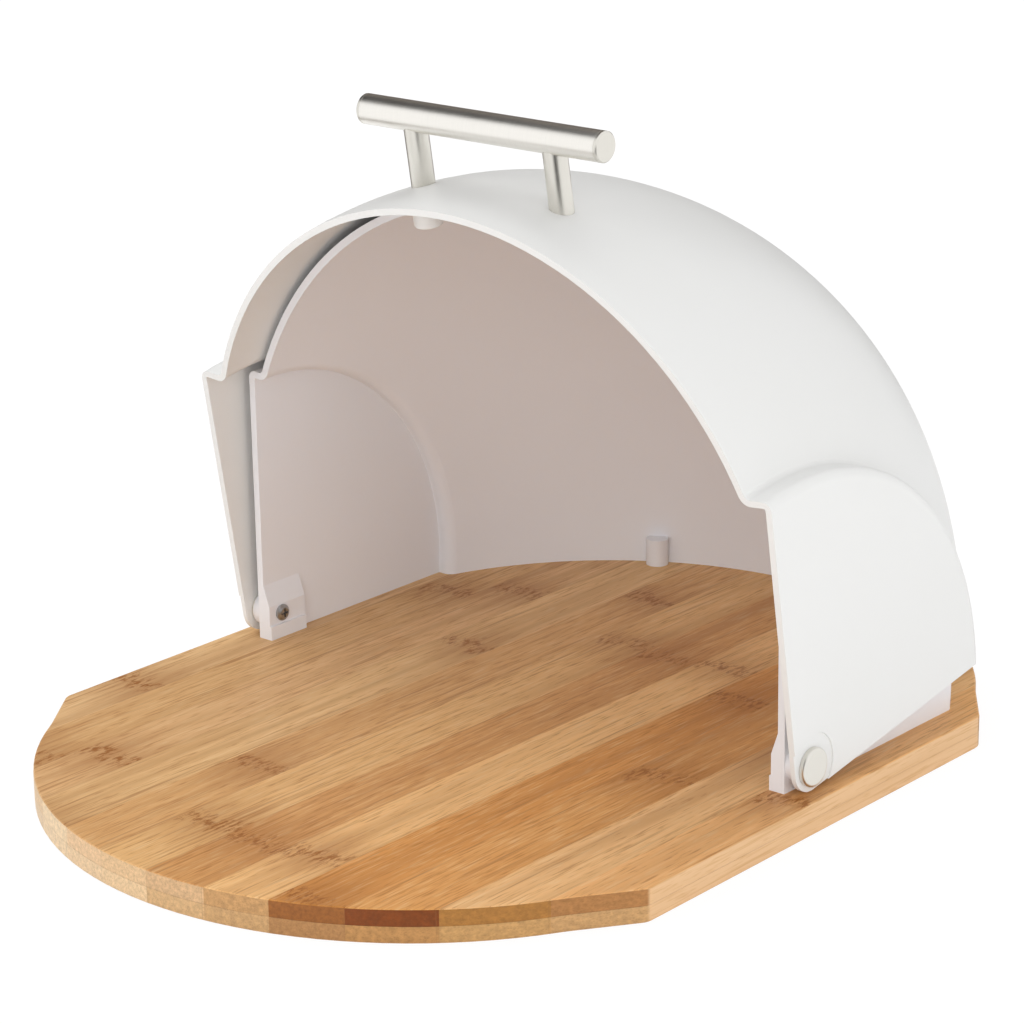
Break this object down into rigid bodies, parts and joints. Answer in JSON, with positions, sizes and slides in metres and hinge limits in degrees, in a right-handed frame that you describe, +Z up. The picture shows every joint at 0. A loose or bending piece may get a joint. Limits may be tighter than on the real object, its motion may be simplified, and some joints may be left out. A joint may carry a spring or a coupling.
{
  "type": "bread box",
  "caption": "Bread box: a white moulded lid with a steel bar handle swings over a fixed rear shell on an oval bamboo board.",
  "frame": {"origin": "on the table under the middle of the board, straight below the lid's pivot", "axes": "+X along the lid's pivot to the right seen from the front, +Y to the back, +Z up"},
  "size_m": [0.3, 0.412, 0.257],
  "materials": {
    "bamboo": "oiled",
    "shell_plastic": "satin",
    "lid_plastic": "satin",
    "handle_steel": "brushed",
    "cap_steel": "satin",
    "screw_steel": "zinc plated",
    "washer_nylon": "matt"
  },
  "bodies": {
    "base": {"board_bottom_ply": "bamboo", "board_top_ply": "bamboo", "rear_shell": "shell_plastic", "base_screws": "screw_steel", "hinge_pin_left": "cap_steel", "hinge_washer_left": "washer_nylon", "hinge_screw_left": "screw_steel", "hinge_pin_right": "cap_steel", "hinge_washer_right": "washer_nylon", "hinge_screw_right": "screw_steel"},
    "lid": {"lid_shell": "lid_plastic", "handle_bar": "handle_steel", "handle_end_cap_left": "handle_steel", "handle_post_left": "handle_steel", "handle_washer_left": "screw_steel", "handle_screw_left": "screw_steel", "handle_end_cap_right": "handle_steel", "handle_post_right": "handle_steel", "handle_washer_right": "screw_steel", "handle_screw_right": "screw_steel"}
  },
  "joints": [
    {"name": "lid_hinge", "type": "hinge", "parent": "base", "child": "lid", "pos_m": [0, 0, 0.024], "axis": [1, 0, 0], "range_deg": [0, 80.6]}
  ]
}
